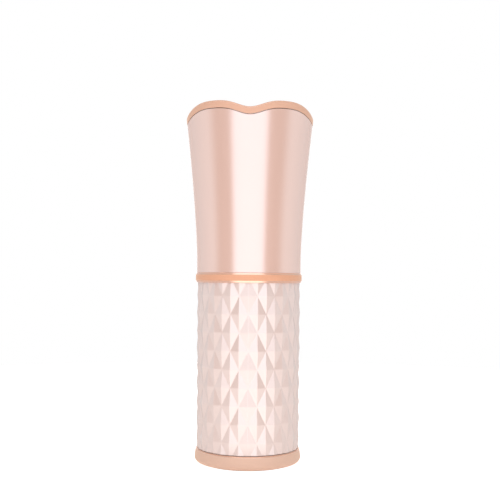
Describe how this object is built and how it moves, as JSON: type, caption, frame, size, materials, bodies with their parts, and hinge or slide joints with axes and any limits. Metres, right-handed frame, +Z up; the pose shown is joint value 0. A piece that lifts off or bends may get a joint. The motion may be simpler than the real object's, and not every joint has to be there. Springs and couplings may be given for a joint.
{
  "type": "ipl hair remover",
  "caption": "Upright handheld hair remover: faceted round grip, plated waist ring and base, flared head with a wavy plated crown and a slanted light window.",
  "frame": {"origin": "on the grip's axis, in the plane of the rubber foot that the part stands on", "axes": "+Z up the grip's axis to the crown, +Y towards the treatment side with the light window and buttons, -Y the plain back, +X to the right seen from the back"},
  "size_m": [0.062, 0.0588, 0.1714],
  "materials": {
    "pearl_shell": "satin pearl pink lacquer",
    "rose_gold": "polished rose gold plating on plastic",
    "seam_rubber": "matt dark brown gasket",
    "foot_rubber": "matt grey anti-slip rubber",
    "vent_plastic": "fine dark grille",
    "face_white": "glossy white moulding",
    "smoked_lens": "smoked gloss lens",
    "window_glass": "clear polished glass",
    "filter_glass": "amber cut-off filter",
    "steel": "bright zinc plated steel",
    "contact_steel": "polished contact pin",
    "chassis_plastic": "moulded natural ABS",
    "black_plastic": "moulded black nylon",
    "brass": "gold flashed contact",
    "board": "green solder mask",
    "copper": "enamelled copper winding",
    "aluminium": "extruded natural aluminium",
    "capacitor_sleeve": "shrink sleeve over an aluminium can",
    "lamp_ceramic": "heat-proof white moulding",
    "mirror_foil": "polished reflector foil",
    "lamp_quartz": "clear quartz",
    "led_white": "diffused LED package",
    "lead_silicone": "red silicone insulation"
  },
  "bodies": {
    "housing": {"base_cap": "rose_gold", "foot_ring": "foot_rubber", "base_gasket": "seam_rubber", "grip_sleeve": "pearl_shell", "waist_ring": "rose_gold", "head_sleeve": "pearl_shell", "crown_gasket": "seam_rubber", "crown_bezel": "rose_gold", "vent_screen": "vent_plastic", "face_plate": "face_white", "skin_tone_sensor": "smoked_lens", "control_panel": "rose_gold", "display_lens": "smoked_lens", "seat_magnets": "steel", "chassis_left": "chassis_plastic", "chassis_right": "chassis_plastic", "chassis_screws": "steel", "base_screws": "steel", "dc_jack": "black_plastic", "dc_jack_pin": "brass", "power_board": "board", "main_board": "board", "board_chips": "black_plastic", "charge_transformer": "copper", "power_transistor": "black_plastic", "storage_capacitor": "capacitor_sleeve", "capacitor_clamp": "aluminium", "fan_frame": "black_plastic", "fan_stator": "copper", "control_board": "board", "tact_switches": "black_plastic", "level_leds": "led_white", "trigger_coil": "copper", "lamp_housing": "lamp_ceramic", "filter_glass": "filter_glass", "reflector": "mirror_foil", "flash_lamp": "lamp_quartz", "lamp_electrodes": "steel", "lamp_end_caps": "aluminium", "lamp_screws": "steel", "heat_sink": "aluminium", "lamp_leads": "lead_silicone"},
    "attachment": {"attachment_frame": "face_white", "attachment_lens": "window_glass", "attachment_magnets": "steel"},
    "left_contact_pin": {"contact_pin_left": "contact_steel"},
    "right_contact_pin": {"contact_pin_right": "contact_steel"},
    "flash_button": {"flash_button": "face_white"},
    "power_button": {"power_button": "face_white"},
    "fan_rotor": {"fan_rotor": "black_plastic"}
  },
  "joints": [
    {"name": "attachment_pull", "type": "slide", "parent": "housing", "child": "attachment", "axis": [0, 0.829, 0.5592], "range_m": [0, 0.03]},
    {"name": "left_pin_press", "type": "slide", "parent": "attachment", "child": "left_contact_pin", "axis": [0, 0.829, 0.5592], "range_m": [-0.0008, 0], "stiffness_N_per_m": 400},
    {"name": "right_pin_press", "type": "slide", "parent": "attachment", "child": "right_contact_pin", "axis": [0, 0.829, 0.5592], "range_m": [-0.0008, 0], "stiffness_N_per_m": 400},
    {"name": "flash_press", "type": "slide", "parent": "housing", "child": "flash_button", "axis": [0, 1, 0], "range_m": [-0.0008, 0], "stiffness_N_per_m": 1500},
    {"name": "power_press", "type": "slide", "parent": "housing", "child": "power_button", "axis": [0, 1, 0], "range_m": [-0.0008, 0], "stiffness_N_per_m": 1500},
    {"name": "fan_spin", "type": "hinge", "parent": "housing", "child": "fan_rotor", "pos_m": [0, 0, 0.078], "axis": [0, 0, 1], "continuous": true}
  ]
}
